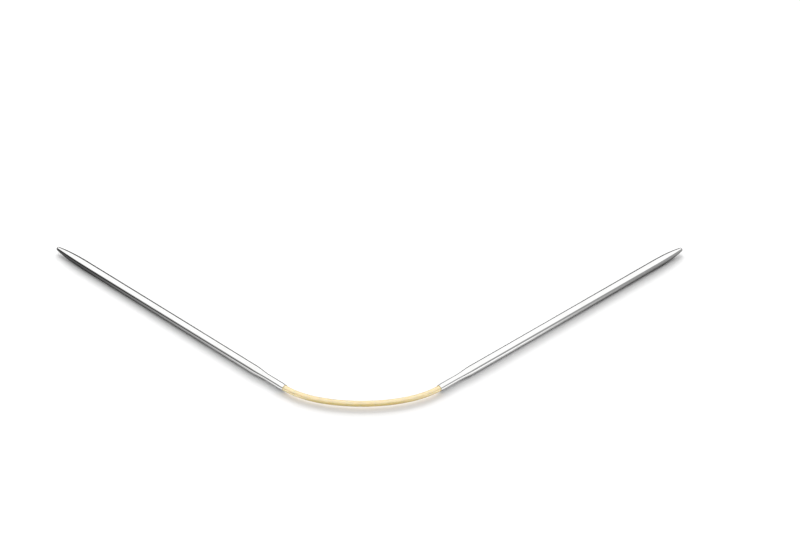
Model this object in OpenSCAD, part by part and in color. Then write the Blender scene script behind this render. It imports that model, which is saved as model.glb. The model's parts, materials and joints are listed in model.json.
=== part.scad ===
// Short circular knitting needle: two rigid metal tips joined by one short flexible cable.
// The needle lies flat. Its centre line is a smooth V that opens toward +Y, with the middle
// of the cable at X = 0. The cable is cut into short links with ball-and-socket ends, so
// that rigid pieces can take the curves of the one flexible cable that they stand for.

/* [Tips] */
// Diameter of the straight part of each metal tip
shaft_d = 2.4; // [2.3:0.05:2.75]
// Length of each metal tip, from its mouth to the end of its point
shaft_len = 85; // [60:1:110]
// Outer diameter of the necked end that holds the cable
neck_d = 1.8; // [1.75:0.05:2.1]
// Distance from the mouth to where the neck begins to grow to the full diameter
neck_len = 6; // [4:0.5:8]
// Length over which the neck grows to the full diameter
neck_taper = 5; // [3:0.5:8]
// Outer diameter of the neck's drawn-in end, nearly flush with the cable
mouth_d = 1.65; // [1.65:0.05:1.75]
// Length over which the neck draws in toward its mouth
mouth_taper = 1.4; // [0.6:0.1:2.5]
// Bevel at the rim of the mouth
mouth_bevel = 0.04; // [0.03:0.01:0.06]
// Inner diameter of the hollow tip
hollow_d = 1.9; // [1.7:0.05:1.95]
// Length of the taper of the left, slimmer point
left_point_len = 12.5; // [9:0.5:16]
// Length of the taper of the right, blunter point
right_point_len = 10.5; // [8:0.5:16]
// Diameter of the rounded end of each point
point_end_d = 1; // [0.7:0.05:1.2]
// Fullness of the point's curve, from 1, a straight cone, upward
point_fullness = 2.6; // [1.5:0.1:3]

/* [Cable] */
// Outer diameter of the cable's sheath
cable_d = 1.4; // [1.2:0.05:1.4]
// Diameter of the stranded core inside the sheath
core_d = 0.7; // [0.4:0.05:0.8]
// Length of cable that shows between the two mouths
cable_len = 40; // [36:1:60]
// Length of cable held inside each tip
cable_insert = 10; // [8:0.5:14]
// Thickness of the adhesive film round the held cable
glue_film = 0.04; // [0.03:0.01:0.05]

/* [Rest curve] */
// Turn at the first bending knuckle, counted from the middle of the cable
bend_1 = 8; // [0:0.5:14]
// Turn at the second bending knuckle
bend_2 = 9; // [0:0.5:14]
// Turn at the third bending knuckle
bend_3 = 12; // [0:0.5:16]
// Turn at the last bending knuckle, next to the tip
bend_4 = 16; // [0:0.5:18]

/* [Knuckles] */
// How far the ball's radius is under the sheath's radius
ball_relief = 0.03; // [0.02:0.01:0.05]
// How far the socket's radius is over the sheath's radius
socket_relief = 0.04; // [0.03:0.01:0.06]

/* [Hidden] */
$fn = 48;
link_names = [for (n = [1 : 13]) str(n < 10 ? "0" : "", n)];

shaft_r = shaft_d / 2;
neck_r = neck_d / 2;
mouth_r = mouth_d / 2;
hollow_r = hollow_d / 2;
cable_r = cable_d / 2;
core_r = core_d / 2;
bore_r = cable_r + glue_film;
ball_r = cable_r - ball_relief;
socket_r = cable_r + socket_relief;

// The links are numbered 1 to 13 from left to right, and the middle one is link 7. Knuckles are
// counted outward from the middle on each side. The 2nd and 5th lift the tip off the table and
// are straight at rest; the others bend in the plane of the table.
middle_link = 7;
knuckles = 6;
pitch = cable_len / (2 * knuckles);
turns = [bend_1, 0, bend_2, bend_3, 0, bend_4];

// Heading of the link outside knuckle k, and the place of knuckle k, on the right-hand side
function heading(k) = k == 0 ? 0 : heading(k - 1) + turns[k - 1];
function along(angle, distance) = distance * [cos(angle), sin(angle)];
function knuckle(k) = k == 1
    ? [pitch / 2, 0]
    : knuckle(k - 1) + along(heading(k - 1), pitch);
tip_heading = heading(knuckles);
mouth = knuckle(knuckles) + along(tip_heading, pitch / 2);

// The points' curve starts at full radius, and ends where it meets the round end
point_end_r = point_end_d / 2;
curve_steps = 10;
round_steps = 6;
neck_steps = 6;
function point_slope(len) = atan((shaft_r - point_end_r) * point_fullness / len);
function point_radius(part) =
    point_end_r + (shaft_r - point_end_r) * (1 - pow(1 - part, point_fullness));
function end_ball_r(len) = point_end_r / cos(point_slope(len));

// Half of the needle's depth along Y, which puts the origin under the middle of its box
end_reach = shaft_len - end_ball_r(right_point_len);
back_y = mouth[1] + along(tip_heading, end_reach)[1] + end_ball_r(right_point_len);
middle_y = (back_y - cable_r) / 2;

// Radius and distance from the mouth, for the tip's outside and for its hollow
function swell(r_from, r_to, start, len) = [
    for (i = [0 : neck_steps])
        let (part = i / neck_steps)
        [r_from + (r_to - r_from) * (1 - cos(180 * part)) / 2, start + len * part]
];
function point_curve(len) =
    let (cap = end_ball_r(len) * (1 - sin(point_slope(len))))
    [
        for (i = [0 : curve_steps])
            let (part = 1 - i / curve_steps)
            [point_radius(part), shaft_len - cap - (len - cap) * part]
    ];
function point_round(len) =
    let (r = end_ball_r(len), slope = point_slope(len))
    [
        for (i = [1 : round_steps])
            let (angle = slope + (90 - slope) * i / round_steps)
            [r * cos(angle), shaft_len - r + r * sin(angle)]
    ];
function hollow_outline(len) =
    let (end = shaft_len - len)
    [
        [0, end],
        [hollow_r, end - hollow_r],
        [hollow_r, cable_insert + 2 * glue_film + neck_taper],
        [bore_r, cable_insert + neck_taper]
    ];
function tip_outline(len) = concat(
    [[bore_r, 0], [mouth_r - mouth_bevel, 0]],
    swell(mouth_r, neck_r, mouth_bevel, mouth_taper - mouth_bevel),
    swell(neck_r, shaft_r, neck_len, neck_taper),
    point_curve(len),
    point_round(len),
    hollow_outline(len)
);

// Turns a shape that stands along +Z so that it lies along +X
module lay_down() {
    rotate([0, 90, 0]) children();
}

// Puts a shape that leaves a knuckle or a mouth along +X in its place on one side
module placed(side, at, angle) {
    translate([0, -middle_y, shaft_r])
        mirror([side < 0 ? 1 : 0, 0, 0])
        translate([at[0], at[1], 0])
        rotate([0, 0, angle])
        children();
}

module tip(side, len) {
    color("lightgray")
        placed(side, mouth, tip_heading)
        lay_down()
        rotate_extrude()
        polygon(tip_outline(len));
}

module adhesive(side) {
    color("goldenrod")
        placed(side, mouth, tip_heading)
        lay_down()
        difference() {
            cylinder(h = cable_insert, r = bore_r);
            translate([0, 0, -1]) cylinder(h = cable_insert + 2, r = cable_r);
        }
}

// Outside of one link, whole. The middle link has a ball at each end, the links beside it
// have a socket inward and a ball outward, and the end links run on into their tips.
module link_blank(k) {
    lay_down()
        if (k == 0) {
            translate([0, 0, -pitch / 2]) cylinder(h = pitch, r = cable_r);
            for (end = [-1, 1]) translate([0, 0, end * pitch / 2]) sphere(r = ball_r);
        } else {
            difference() {
                union() {
                    cylinder(h = k < knuckles ? pitch : pitch / 2 + cable_insert, r = cable_r);
                    if (k < knuckles) translate([0, 0, pitch]) sphere(r = ball_r);
                }
                sphere(r = socket_r);
            }
        }
}

// Room for the core along one link, long enough to pass through both of its ends
module core_room() {
    lay_down()
        translate([0, 0, -pitch])
        cylinder(h = cable_insert + 3 * pitch, r = core_r);
}

module link_place(n) {
    k = abs(n - middle_link);
    placed(n < middle_link ? -1 : 1, k == 0 ? [0, 0] : knuckle(k), heading(k)) children();
}

module cable_sheath(n) {
    color("khaki")
        link_place(n)
        difference() {
            link_blank(abs(n - middle_link));
            core_room();
        }
}

module cable_core(n) {
    color("silver")
        link_place(n)
        intersection() {
            link_blank(abs(n - middle_link));
            core_room();
        }
}

tip(-1, left_point_len);  // left_shaft
tip(1, right_point_len);  // right_shaft
adhesive(-1);  // left_adhesive
adhesive(1);  // right_adhesive
for (n = [1 : 13])
    cable_sheath(n);
for (n = [1 : 13])
    cable_core(n);
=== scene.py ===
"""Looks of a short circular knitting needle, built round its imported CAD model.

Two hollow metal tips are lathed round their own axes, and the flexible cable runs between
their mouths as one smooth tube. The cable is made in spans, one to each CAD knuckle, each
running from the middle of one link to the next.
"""

import json
import math

import bpy
from mathutils import Matrix, Vector


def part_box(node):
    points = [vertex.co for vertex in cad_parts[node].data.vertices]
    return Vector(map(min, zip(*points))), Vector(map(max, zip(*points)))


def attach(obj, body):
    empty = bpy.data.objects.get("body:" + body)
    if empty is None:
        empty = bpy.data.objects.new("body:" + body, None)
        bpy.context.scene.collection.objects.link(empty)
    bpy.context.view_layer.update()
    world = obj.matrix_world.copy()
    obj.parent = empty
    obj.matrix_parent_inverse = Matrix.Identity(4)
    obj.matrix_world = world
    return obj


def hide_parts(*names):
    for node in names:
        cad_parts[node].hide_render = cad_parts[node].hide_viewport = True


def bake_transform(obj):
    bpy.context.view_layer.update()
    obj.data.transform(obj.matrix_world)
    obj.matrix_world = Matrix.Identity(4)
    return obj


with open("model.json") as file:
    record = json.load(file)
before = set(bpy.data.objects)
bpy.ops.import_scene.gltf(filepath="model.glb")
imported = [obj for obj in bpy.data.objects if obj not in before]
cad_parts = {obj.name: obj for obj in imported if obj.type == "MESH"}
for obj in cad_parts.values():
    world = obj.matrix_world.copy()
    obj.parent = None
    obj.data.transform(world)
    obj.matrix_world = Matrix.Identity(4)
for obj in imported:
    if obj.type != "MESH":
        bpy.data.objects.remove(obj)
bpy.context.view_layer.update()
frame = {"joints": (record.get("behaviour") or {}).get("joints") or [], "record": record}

MM = 0.001

# ---------------------------------------------------------------- sizes, in metres
NECK_RADIUS = 0.9 * MM
NECK_LENGTH = 6.0 * MM
NECK_TAPER = 5.0 * MM
MOUTH_RADIUS = 0.825 * MM
MOUTH_TAPER = 1.4 * MM
MOUTH_BEVEL = 0.04 * MM
HOLLOW_RADIUS = 0.95 * MM
TIP_LENGTH = 85.0 * MM
POINT_LENGTH = {"left": 12.5 * MM, "right": 10.5 * MM}
POINT_END_RADIUS = 0.5 * MM
POINT_FULLNESS = 2.6
CORE_RADIUS = 0.35 * MM
INSERT = 10.0 * MM
GLUE_FILM = 0.04 * MM
CABLE_HALF = 20.0 * MM
KNUCKLES = 6
# Share of the cable's turn that grows with the cube of the distance from its middle
CUBIC_TURN = 0.32

# ---------------------------------------------------------------- places from the frame
joints = {joint["name"]: joint for joint in frame["joints"]}
mounts = {mount["name"]: mount for mount in frame["record"]["mounts"]}
SIDES = {"left": -1, "right": 1}
SHAFT_RADIUS = mounts["right_shaft_pin"]["dims"]["r_mm"] * MM
low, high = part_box("cable_sheath_07")
CABLE_RADIUS = (high.z - low.z) / 2
LINK = CABLE_HALF / KNUCKLES
UP = Vector((0, 0, 1))

# ---------------------------------------------------------------- fineness of the meshes
TIP_SIDES, GLUE_SIDES, SHEATH_SIDES, WIRE_SIDES = 128, 64, 48, 10
SHEATH_STEP, WIRE_STEP = 0.15 * MM, 0.25 * MM


def tip_axis(side):
    """Direction of a tip from its mouth to its point."""
    return Vector(mounts[side + "_shaft_pin"]["axis"]).normalized()


def mouth(side):
    """Centre of the mouth that the cable enters, half a link outside the last knuckle."""
    return Vector(joints[side + "_bend_4"]["pos_m"]) + tip_axis(side) * LINK / 2


TURN = math.atan2(tip_axis("right").y, tip_axis("right").x)
MIDDLE = Vector((0, joints["right_bend_1"]["pos_m"][1], SHAFT_RADIUS))


# ---------------------------------------------------------------- the cable's curve
def heading(part):
    """Turn of the cable at a share of the way from its middle to a mouth."""
    return TURN * ((1 - CUBIC_TURN) * part + CUBIC_TURN * part**3)


def half_curve(steps=2000):
    """Centre line from the middle to the right mouth, found by adding up short steps, and
    then eased over so that it ends exactly in the mouth."""
    step = CABLE_HALF / steps
    points = [Vector((0, 0, 0))]
    for i in range(steps):
        angle = heading((i + 0.5) / steps)
        points.append(points[-1] + step * Vector((math.cos(angle), math.sin(angle), 0)))
    miss = mouth("right") - MIDDLE - points[-1]
    return [p + miss * (i / steps) ** 2 for i, p in enumerate(points)]


HALF_CURVE = half_curve()


def cable_point(side, distance):
    """Point and direction on the cable's centre line, a distance outward from its middle."""
    if distance >= CABLE_HALF:
        axis = tip_axis(side)
        return mouth(side) + axis * (distance - CABLE_HALF), axis
    place = distance / CABLE_HALF * (len(HALF_CURVE) - 1)
    i = min(int(place), len(HALF_CURVE) - 2)
    point = HALF_CURVE[i].lerp(HALF_CURVE[i + 1], place - i)
    angle = heading(distance / CABLE_HALF)
    sign = SIDES[side]
    point = MIDDLE + Vector((sign * point.x, point.y, point.z))
    return point, Vector((sign * math.cos(angle), math.sin(angle), 0))


# ---------------------------------------------------------------- mesh helpers
def new_piece(name, verts, faces, uvs, material, sharp_rings=(), ring_size=0):
    """A smooth-shaded mesh object. uvs holds one list of corners for each face."""
    mesh = bpy.data.meshes.new(name)
    mesh.from_pydata([tuple(v) for v in verts], [], faces)
    layer = mesh.uv_layers.new(name="Skin")
    corner = 0
    for face_uvs in uvs:
        for uv in face_uvs:
            layer.data[corner].uv = uv
            corner += 1
    mesh.polygons.foreach_set("use_smooth", [True] * len(mesh.polygons))
    sharp = set(sharp_rings)
    for edge in mesh.edges:
        a, b = edge.vertices
        if ring_size and a // ring_size == b // ring_size and a // ring_size in sharp:
            edge.use_edge_sharp = True
    mesh.validate()
    piece = bpy.data.objects.new(name, mesh)
    bpy.context.scene.collection.objects.link(piece)
    piece.data.materials.append(material)
    return piece


def skin_rings(rings, closed=False, poles=(None, None)):
    """Faces and UVs that join rings of points. Each ring is (points, height for the UV)."""
    verts = [p for points, _ in rings for p in points]
    size = len(rings[0][0])
    faces, uvs = [], []
    count = len(rings)
    for r in range(count if closed else count - 1):
        nxt = (r + 1) % count
        v0, v1 = rings[r][1], rings[nxt][1]
        for i in range(size):
            j = (i + 1) % size
            faces.append((r * size + i, nxt * size + i, nxt * size + j, r * size + j))
            u0, u1 = i / size, (i + 1) / size
            uvs.append(((u0, v0), (u0, v1), (u1, v1), (u1, v0)))
    for pole, ring in zip(poles, (0, count - 1)):
        if pole is None:
            continue
        verts.append(pole)
        tip, height = len(verts) - 1, rings[ring][1]
        for i in range(size):
            j = (i + 1) % size
            a, b = ring * size + i, ring * size + j
            faces.append((a, b, tip) if ring == 0 else (b, a, tip))
            uvs.append(((i / size, height), ((i + 1) / size, height), (i / size, height)))
    return verts, faces, uvs


def ring_at(centre, axis, radius, size):
    """Points of a circle about an axis that lies level."""
    across = axis.cross(UP).normalized()
    return [
        centre + radius * (math.cos(a) * across + math.sin(a) * UP)
        for a in (2 * math.pi * i / size for i in range(size))
    ]


def lathe(name, side, profile, size, material, sharp=()):
    """A body of revolution about a tip's axis. The profile runs round a closed outline, as
    (distance from the mouth, radius), and starts and ends on the axis if its radius is 0."""
    start, axis = mouth(side), tip_axis(side)
    on_axis = [profile[0][1] == 0, profile[-1][1] == 0]
    body = profile[on_axis[0]: len(profile) - on_axis[1]]
    rings = [(ring_at(start + axis * x, axis, r, size), x / MM) for x, r in body]
    poles = [
        start + axis * end[0] if closed else None
        for end, closed in zip((profile[0], profile[-1]), on_axis)
    ]
    verts, faces, uvs = skin_rings(rings, closed=not any(on_axis), poles=poles)
    return new_piece(name, verts, faces, uvs, material, sharp, size)


# ---------------------------------------------------------------- materials
def make_material(name):
    """A node material, with its principled shader and a short way to add and join nodes."""
    material = bpy.data.materials.new(name)
    material.use_nodes = True
    tree = material.node_tree
    shader = next(n for n in tree.nodes if n.type == "BSDF_PRINCIPLED")

    def add(kind, **settings):
        node = tree.nodes.new(kind)
        for key, value in settings.items():
            if hasattr(node, key):
                setattr(node, key, value)
            else:
                node.inputs[key.replace("_", " ")].default_value = value
        return node

    return material, shader, add, tree.links.new


def ramp(add, stops, colours):
    """A colour ramp node with its stops set."""
    node = add("ShaderNodeValToRGB")
    elements = node.color_ramp.elements
    while len(elements) < len(stops):
        elements.new(0.5)
    for element, stop, colour in zip(elements, stops, colours):
        element.position = stop
        element.color = (*colour, 1)
    return node


def skin_coordinates(add, join, scale):
    """Coordinates round and along a lathed skin, scaled."""
    uv = add("ShaderNodeUVMap", uv_map="Skin")
    mapping = add("ShaderNodeMapping")
    mapping.inputs["Scale"].default_value = scale
    join(uv.outputs["UV"], mapping.inputs["Vector"])
    return mapping.outputs["Vector"]


# Distance from the mouth, in mm, where the grinding of the point begins to show
GRINDING_START = 72.0


def nickel():
    """Polished nickel plate: faint turning lines round the shaft, stronger grinding rings on
    the point, and soft cloudy wear."""
    material, shader, add, join = make_material("nickel_plate")
    shader.inputs["Metallic"].default_value = 1.0
    lines = add("ShaderNodeTexNoise", Scale=1.0, Detail=3.0, Roughness=0.6)
    join(skin_coordinates(add, join, (2.0, 14.0, 1.0)), lines.inputs["Vector"])
    place = add("ShaderNodeTexCoord")
    clouds = add("ShaderNodeTexNoise", Scale=260.0, Detail=4.0, Roughness=0.55)
    join(place.outputs["Object"], clouds.inputs["Vector"])
    tint = ramp(add, (0.3, 0.7), ((0.84, 0.84, 0.83), (0.90, 0.90, 0.90)))
    join(clouds.outputs["Fac"], tint.inputs["Fac"])
    join(tint.outputs["Color"], shader.inputs["Base Color"])
    both = add("ShaderNodeMath", operation="MULTIPLY")
    join(lines.outputs["Fac"], both.inputs[0])
    join(clouds.outputs["Fac"], both.inputs[1])
    rough = add("ShaderNodeMapRange")
    rough.inputs["From Max"].default_value = 0.6
    rough.inputs["To Min"].default_value = 0.03
    rough.inputs["To Max"].default_value = 0.09
    join(both.outputs["Value"], rough.inputs["Value"])
    join(rough.outputs["Result"], shader.inputs["Roughness"])
    bump = add("ShaderNodeBump", Strength=0.05, Distance=0.00002)
    join(lines.outputs["Fac"], bump.inputs["Height"])
    rings = add("ShaderNodeTexNoise", Scale=1.0, Detail=1.0, Roughness=0.4)
    join(skin_coordinates(add, join, (1.0, 2.4, 1.0)), rings.inputs["Vector"])
    height = add("ShaderNodeSeparateXYZ")
    join(skin_coordinates(add, join, (1.0, 1.0, 1.0)), height.inputs["Vector"])
    ground = add("ShaderNodeMapRange")
    ground.inputs["From Min"].default_value = GRINDING_START
    ground.inputs["From Max"].default_value = GRINDING_START + 4.0
    join(height.outputs["Y"], ground.inputs["Value"])
    ring_bump = add("ShaderNodeBump", Distance=0.00002)
    join(rings.outputs["Fac"], ring_bump.inputs["Height"])
    depth = add("ShaderNodeMath", operation="MULTIPLY")
    depth.inputs[1].default_value = 0.5
    join(ground.outputs["Result"], depth.inputs[0])
    join(depth.outputs["Value"], ring_bump.inputs["Strength"])
    join(bump.outputs["Normal"], ring_bump.inputs["Normal"])
    join(ring_bump.outputs["Normal"], shader.inputs["Normal"])
    return material


def gold_plastic():
    """Glossy gold polyamide, a little translucent, with faint streaks along its length."""
    material, shader, add, join = make_material("gold_sheath")
    streaks = add("ShaderNodeTexNoise", Scale=1.0, Detail=3.0, Roughness=0.5)
    join(skin_coordinates(add, join, (7.0, 0.25, 1.0)), streaks.inputs["Vector"])
    place = add("ShaderNodeTexCoord")
    clouds = add("ShaderNodeTexNoise", Scale=180.0, Detail=3.0, Roughness=0.5)
    join(place.outputs["Object"], clouds.inputs["Vector"])
    mix = add("ShaderNodeMath", operation="MULTIPLY_ADD")
    join(streaks.outputs["Fac"], mix.inputs[0])
    mix.inputs[1].default_value = 0.5
    halved = add("ShaderNodeMath", operation="MULTIPLY")
    halved.inputs[1].default_value = 0.5
    join(clouds.outputs["Fac"], halved.inputs[0])
    join(halved.outputs["Value"], mix.inputs[2])
    tint = ramp(add, (0.3, 0.7), ((0.96, 0.67, 0.26), (0.99, 0.74, 0.35)))
    join(mix.outputs["Value"], tint.inputs["Fac"])
    join(tint.outputs["Color"], shader.inputs["Base Color"])
    rough = add("ShaderNodeMapRange")
    rough.inputs["To Min"].default_value = 0.22
    rough.inputs["To Max"].default_value = 0.34
    join(mix.outputs["Value"], rough.inputs["Value"])
    join(rough.outputs["Result"], shader.inputs["Roughness"])
    bump = add("ShaderNodeBump", Strength=0.08, Distance=0.00003)
    join(streaks.outputs["Fac"], bump.inputs["Height"])
    join(bump.outputs["Normal"], shader.inputs["Normal"])
    shader.inputs["Subsurface Weight"].default_value = 0.9
    shader.inputs["Subsurface Radius"].default_value = (0.8, 0.7, 0.45)
    shader.inputs["Subsurface Scale"].default_value = 0.0005
    shader.inputs["IOR"].default_value = 1.53
    shader.inputs["Coat Weight"].default_value = 1.0
    shader.inputs["Coat IOR"].default_value = 3.0
    shader.inputs["Coat Roughness"].default_value = 0.14
    return material


def amber_glue():
    """Clear amber adhesive in a darker amber than the sheath, with small bubbles in it."""
    material, shader, add, join = make_material("amber_adhesive")
    place = add("ShaderNodeTexCoord")
    cells = add("ShaderNodeTexNoise", Scale=2500.0, Detail=2.0)
    join(place.outputs["Object"], cells.inputs["Vector"])
    tint = ramp(add, (0.35, 0.65), ((0.62, 0.42, 0.10), (0.78, 0.57, 0.18)))
    join(cells.outputs["Fac"], tint.inputs["Fac"])
    join(tint.outputs["Color"], shader.inputs["Base Color"])
    rough = add("ShaderNodeMapRange")
    rough.inputs["To Min"].default_value = 0.12
    rough.inputs["To Max"].default_value = 0.3
    join(cells.outputs["Fac"], rough.inputs["Value"])
    join(rough.outputs["Result"], shader.inputs["Roughness"])
    return material


def strand_steel():
    """Bare steel wire: drawn lines along each strand and a little oil darkening."""
    material, shader, add, join = make_material("core_steel")
    shader.inputs["Metallic"].default_value = 1.0
    drawn = add("ShaderNodeTexNoise", Scale=1.0, Detail=3.0)
    join(skin_coordinates(add, join, (12.0, 0.6, 1.0)), drawn.inputs["Vector"])
    tint = ramp(add, (0.3, 0.75), ((0.38, 0.36, 0.33), (0.62, 0.61, 0.58)))
    join(drawn.outputs["Fac"], tint.inputs["Fac"])
    join(tint.outputs["Color"], shader.inputs["Base Color"])
    rough = add("ShaderNodeMapRange")
    rough.inputs["To Min"].default_value = 0.25
    rough.inputs["To Max"].default_value = 0.45
    join(drawn.outputs["Fac"], rough.inputs["Value"])
    join(rough.outputs["Result"], shader.inputs["Roughness"])
    return material


NICKEL = nickel()
GOLD = gold_plastic()
GLUE = amber_glue()
STEEL = strand_steel()


# ---------------------------------------------------------------- the metal tips
def arc(centre_x, centre_r, radius, first, last, steps):
    """Points of an arc in a profile, from one angle to another, in degrees."""
    return [
        (
            centre_x + radius * math.cos(math.radians(first + (last - first) * i / steps)),
            centre_r + radius * math.sin(math.radians(first + (last - first) * i / steps)),
        )
        for i in range(steps + 1)
    ]


def swell(near_radius, far_radius, start, length, steps=24):
    """A smooth growth of the skin from one radius to another."""
    return [
        (
            start + length * i / steps,
            near_radius + (far_radius - near_radius) * (1 - math.cos(math.pi * i / steps)) / 2,
        )
        for i in range(steps + 1)
    ]


def point_profile(side, steps=48, round_steps=16):
    """The long curved taper of the point and its small round end."""
    length = POINT_LENGTH[side]
    slope = math.atan((SHAFT_RADIUS - POINT_END_RADIUS) * POINT_FULLNESS / length)
    ball = POINT_END_RADIUS / math.cos(slope)
    cap = ball * (1 - math.sin(slope))
    points = []
    for i in range(steps + 1):
        part = 1 - i / steps
        grown = 1 - (1 - part) ** POINT_FULLNESS
        radius = POINT_END_RADIUS + (SHAFT_RADIUS - POINT_END_RADIUS) * grown
        points.append((TIP_LENGTH - cap - (length - cap) * part, radius))
    end = arc(TIP_LENGTH - ball, 0, ball, 90 - math.degrees(slope), 0, round_steps)
    return points + end[1:-1] + [(TIP_LENGTH, 0)]


def tip_profile(side):
    """The whole outline of a tip, from the end of its hollow round its skin to its point."""
    hollow_end = TIP_LENGTH - POINT_LENGTH[side]
    bore = CABLE_RADIUS + GLUE_FILM
    inside = [
        (hollow_end, 0),
        (hollow_end - HOLLOW_RADIUS, HOLLOW_RADIUS),
        (INSERT + NECK_TAPER + 2 * GLUE_FILM, HOLLOW_RADIUS),
        (INSERT + NECK_TAPER, bore),
        (0, bore),
    ]
    lip = arc(MOUTH_BEVEL, MOUTH_RADIUS - MOUTH_BEVEL, MOUTH_BEVEL, 180, 90, 6)
    drawn_in = swell(MOUTH_RADIUS, NECK_RADIUS, MOUTH_BEVEL, MOUTH_TAPER - MOUTH_BEVEL)[1:]
    neck = swell(NECK_RADIUS, SHAFT_RADIUS, NECK_LENGTH, NECK_TAPER)
    return inside + lip + drawn_in + neck + point_profile(side)


def make_tip(side):
    """One metal tip. Its inner corners and its rim are sharp."""
    tip = lathe(side + "_tip_metal", side, tip_profile(side), TIP_SIDES, NICKEL, range(5))
    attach(tip, side + "_tip")
    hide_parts(side + "_shaft")


def make_glue(side):
    """The adhesive round the held cable, with a small bead where it meets the mouth."""
    bead_reach, bead_radius = 0.10 * MM, MOUTH_RADIUS - 1.1 * MOUTH_BEVEL
    bead = [
        (-bead_reach * (1 - math.cos(math.pi / 2 * part)),
         CABLE_RADIUS + (bead_radius - CABLE_RADIUS) * (1 - math.sin(math.pi / 2 * part)))
        for part in (1 - i / 8 for i in range(9))
    ]
    profile = [(INSERT, CABLE_RADIUS)] + bead + [(0, CABLE_RADIUS + GLUE_FILM)]
    profile.append((INSERT, CABLE_RADIUS + GLUE_FILM))
    glue = lathe(side + "_adhesive_bead", side, profile, GLUE_SIDES, GLUE, (0, 9, 10, 11))
    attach(glue, side + "_tip")
    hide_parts(side + "_adhesive")


# ---------------------------------------------------------------- the cable
STRAND_PITCH = 6.0 * MM
WIRES = 6
# Share of its room that each wire fills
WIRE_FILL = 0.98


def sheath_span(name, side, near, far):
    """A hollow stretch of sheath between two distances from the cable's middle."""
    size, steps = SHEATH_SIDES, round((far - near) / SHEATH_STEP)
    rings = []
    for radius, order in ((CABLE_RADIUS, 1), (CORE_RADIUS, -1)):
        stations = [near + (far - near) * i / steps for i in range(steps + 1)][::order]
        for distance in stations:
            centre, axis = cable_point(side, distance)
            rings.append((ring_at(centre, axis, radius, size), distance / MM))
    if SIDES[side] > 0:
        rings = [(points[::-1], height) for points, height in rings]
    verts, faces, uvs = skin_rings(rings, closed=True)
    ends = (0, steps, steps + 1, 2 * steps + 1)
    return new_piece(name, verts, faces, uvs, GOLD, ends, size)


def core_span(name, side, near, far):
    """A stretch of the twisted core: one straight wire with a layer of wires round it."""
    wire = CORE_RADIUS / 3
    size, steps = WIRE_SIDES, round((far - near) / WIRE_STEP)
    verts, faces, uvs = [], [], []
    for strand in range(WIRES + 1):
        rings = []
        for i in range(steps + 1):
            distance = near + (far - near) * i / steps
            centre, axis = cable_point(side, distance)
            across = axis.cross(UP).normalized()
            lay = SIDES[side] * distance / STRAND_PITCH + strand / WIRES
            turn = 2 * math.pi * lay * SIDES[side]
            reach = 0 if strand == WIRES else 2 * wire
            spot = centre + reach * (math.cos(turn) * across + math.sin(turn) * UP)
            rings.append((ring_at(spot, axis, wire * WIRE_FILL, size), distance / MM))
        poles = [sum(ring[0], Vector()) / size for ring in (rings[0], rings[-1])]
        part = skin_rings(rings, poles=poles)
        faces += [tuple(v + len(verts) for v in face) for face in part[1]]
        verts += part[0]
        uvs += part[2]
    return new_piece(name, verts, faces, uvs, STEEL)


def make_cable():
    """Sheath and core in one span for each knuckle, from the middle of one link to the next.
    The last span on each side runs on into its tip's bore."""
    for side, sign in SIDES.items():
        for k in range(1, KNUCKLES + 1):
            near, far = LINK * (k - 1), LINK * k
            end = far + INSERT if k == KNUCKLES else far
            number = KNUCKLES + 1 + sign * k
            stands_for = [number] if k > 1 or sign > 0 else [number, KNUCKLES + 1]
            for kind, build in (("sheath", sheath_span), ("core", core_span)):
                span = build("%s_span_%s_%d" % (kind, side, k), side, near, end)
                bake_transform(span)
                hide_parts(*["cable_%s_%02d" % (kind, n) for n in stands_for])


for tip_side in SIDES:
    make_tip(tip_side)
    make_glue(tip_side)
make_cable()


# ---------------------------------------------------------------- floor, light and camera
FLOOR_HALF, FLOOR_WHITE = 3.0, 0.9
# Painted reflection: how bright the floor is painted for the metal's mirror rays, at shares of
# the way from X -POOL_HALF to POOL_HALF
POOL_HALF = 0.1
PAINTED_LIGHT_POOL = (
    (0.13, 0.09), (0.29, 0.45), (0.40, 1.1), (0.44, 0.12),
    (0.56, 0.12), (0.60, 1.1), (0.72, 1.0), (0.78, 0.55), (0.87, 0.27),
)
# How far off, in metres, the painted contact shade round the needle reaches on the floor that
# the metal mirrors
PAINTED_SHADE_REACH = 0.004
# The dome: how bright its rim is at the left, the right and the far side, how high the rim
# reaches, and how softly it gives way to white
RIM_LEFT, RIM_RIGHT, RIM_FAR = 0.34, 0.30, 0.0
RIM_TOP, RIM_SOFT = 0.42, 0.04
# Directions, along X and along Y, between which one part of the rim gives way to the next
RIM_TURN_X, RIM_TURN_Y = (-0.7, 0.7), (0.2, 0.7)
# How bright the dome is, and how bright it is where it only fills soft light
DOME_STRENGTH, DOME_FILL = 1.15, 0.88
# Where the dark card stands along X, its height and half its length, in metres
CARD_PLACE, CARD_HEIGHT, CARD_HALF = -0.115, 0.016, 0.3


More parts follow.
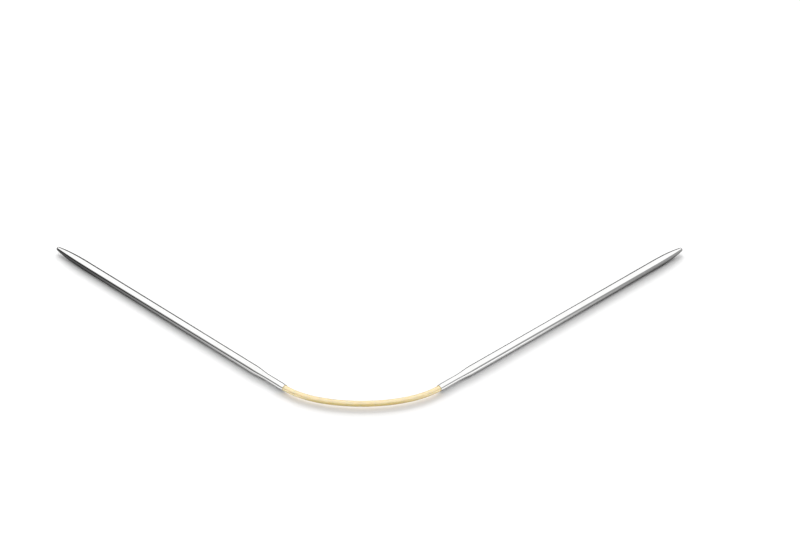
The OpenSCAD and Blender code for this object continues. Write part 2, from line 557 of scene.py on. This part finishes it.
def studio_floor():
    """A plain white floor to the camera and to soft light. For mirror rays its colour holds a
    painted
    reflection: a painted pool of light under each tip near its mouth, painted dimness under
    the cable and toward the needle's points, and painted contact shade round the needle."""
    size = FLOOR_HALF
    mesh = bpy.data.meshes.new("floor")
    corners = [(-size, -size, 0), (size, -size, 0), (size, size, 0), (-size, size, 0)]
    mesh.from_pydata(corners, [], [(0, 1, 2, 3)])
    floor = bpy.data.objects.new("floor", mesh)
    bpy.context.scene.collection.objects.link(floor)
    material, shader, add, join = make_material("studio_white_painted_reflection")
    shader.inputs["Roughness"].default_value = 0.9
    shader.inputs["Specular IOR Level"].default_value = 0.0
    place = add("ShaderNodeTexCoord")
    split = add("ShaderNodeSeparateXYZ")
    join(place.outputs["Object"], split.inputs["Vector"])
    along = add("ShaderNodeMapRange")
    along.inputs["From Min"].default_value = -POOL_HALF
    along.inputs["From Max"].default_value = POOL_HALF
    join(split.outputs["X"], along.inputs["Value"])
    # Painted reflection: light and dim strips along X, painted into the colour that mirror
    # rays see
    painted_pool = ramp(add, [stop for stop, _ in PAINTED_LIGHT_POOL], [(v, v, v) for _, v in PAINTED_LIGHT_POOL])
    join(along.outputs["Result"], painted_pool.inputs["Fac"])
    # Painted contact shade: ambient occlusion darkens that painted colour round the needle
    under = add("ShaderNodeAmbientOcclusion", samples=8)
    under.inputs["Distance"].default_value = PAINTED_SHADE_REACH
    join(painted_pool.outputs["Color"], under.inputs["Color"])
    # Camera and soft rays see plain white; mirror rays see the painted reflection and painted
    # shade
    ray = add("ShaderNodeLightPath")
    mix = add("ShaderNodeMix", data_type="RGBA")
    join(ray.outputs["Is Glossy Ray"], mix.inputs["Factor"])
    mix.inputs[6].default_value = (FLOOR_WHITE, FLOOR_WHITE, FLOOR_WHITE, 1)
    join(under.outputs["Color"], mix.inputs[7])
    join(mix.outputs[2], shader.inputs["Base Color"])
    mesh.materials.append(material)


def studio_sky():
    """A white dome with a dark rim near the horizon, which draws dark lines on the metal.
    The rim is darkest on the side beyond the needle, and the camera itself sees only white."""
    world = bpy.data.worlds.new("studio")
    bpy.context.scene.world = world
    world.use_nodes = True
    nodes, join = world.node_tree.nodes, world.node_tree.links.new
    background = nodes["Background"]
    place = nodes.new("ShaderNodeTexCoord")
    split = nodes.new("ShaderNodeSeparateXYZ")
    join(place.outputs["Generated"], split.inputs["Vector"])

    def spread(value, start, end, to_start, to_end):
        node = nodes.new("ShaderNodeMapRange")
        for name, number in zip(("From Min", "From Max", "To Min", "To Max"),
                                (start, end, to_start, to_end)):
            node.inputs[name].default_value = number
        join(value, node.inputs["Value"])
        return node.outputs["Result"]

    def mixed(factor, first, second):
        node = nodes.new("ShaderNodeMix")
        for value, socket in zip((factor, first, second), (0, 2, 3)):
            if isinstance(value, float):
                node.inputs[socket].default_value = value
            else:
                join(value, node.inputs[socket])
        return node.outputs[0]

    sides = spread(split.outputs["X"], *RIM_TURN_X, RIM_LEFT, RIM_RIGHT)
    rim = mixed(spread(split.outputs["Y"], *RIM_TURN_Y, 0.0, 1.0), sides, RIM_FAR)
    above = spread(split.outputs["Z"], RIM_TOP - RIM_SOFT, RIM_TOP + RIM_SOFT, 0.0, 1.0)
    light_path = nodes.new("ShaderNodeLightPath")
    seen = light_path.outputs["Is Camera Ray"]
    join(mixed(seen, mixed(above, rim, 1.0), 1.0), background.inputs["Color"])
    soft = light_path.outputs["Is Diffuse Ray"]
    join(mixed(soft, DOME_STRENGTH, DOME_FILL), background.inputs["Strength"])


def dark_card():
    """A low black card beyond the left point. Only the metal sees it."""
    mesh = bpy.data.meshes.new("dark_card")
    edge = [(0, -CARD_HALF), (0, CARD_HALF)]
    corners = [(*p, 0) for p in edge] + [(*p, CARD_HEIGHT) for p in edge[::-1]]
    mesh.from_pydata(corners, [], [(0, 1, 2, 3)])
    card = bpy.data.objects.new("dark_card", mesh)
    bpy.context.scene.collection.objects.link(card)
    card.location.x = CARD_PLACE
    material, shader, _, _ = make_material("card_black")
    shader.inputs["Base Color"].default_value = (0.01, 0.01, 0.01, 1)
    shader.inputs["Roughness"].default_value = 1.0
    shader.inputs["Specular IOR Level"].default_value = 0.0
    mesh.materials.append(material)
    card.visible_camera = card.visible_diffuse = card.visible_shadow = False


def area_light(name, place, width, height, energy):
    """A rectangular light that faces the needle, and that the metal doesn't mirror."""
    data = bpy.data.lights.new(name, "AREA")
    data.shape = "RECTANGLE"
    data.size, data.size_y = width, height
    data.energy = energy
    light = bpy.data.objects.new(name, data)
    bpy.context.scene.collection.objects.link(light)
    light.location = place
    light.rotation_euler = (-light.location).to_track_quat("-Z", "Y").to_euler()
    light.visible_glossy = False


def studio_lights():
    """A broad low light behind the needle, which lays a soft shadow toward the camera, and a
    weak one in front, just above the table, which fills the near side of the cable."""
    area_light("key", (-0.1, 1.15, 0.72), 1.2, 0.8, 18.0)
    area_light("fill", (0.0, -1.25, 0.2), 1.2, 0.2, 2.6)


def studio_camera():
    """A long lens, a metre away, a little under 35 degrees above the table."""
    data = bpy.data.cameras.new("camera")
    data.sensor_width = 36.0
    data.lens = 179.8
    data.clip_start, data.clip_end = 0.05, 20.0
    camera = bpy.data.objects.new("camera", data)
    bpy.context.scene.collection.objects.link(camera)
    azimuth, elevation, roll = math.radians(-1.72), math.radians(34.0), math.radians(-0.87)
    target, distance = Vector((7.93, 27.2, 0)) * MM, 1.0
    back = Vector((
        -math.sin(azimuth) * math.cos(elevation),
        -math.cos(azimuth) * math.cos(elevation),
        math.sin(elevation),
    ))
    turn = (-back).to_track_quat("-Z", "Y").to_matrix().to_4x4()
    place = Matrix.Translation(target + back * distance)
    camera.matrix_world = place @ turn @ Matrix.Rotation(roll, 4, "Z")
    bpy.context.scene.camera = camera


studio_floor()
studio_sky()
dark_card()
studio_lights()
studio_camera()
bpy.context.scene.view_settings.view_transform = "Standard"
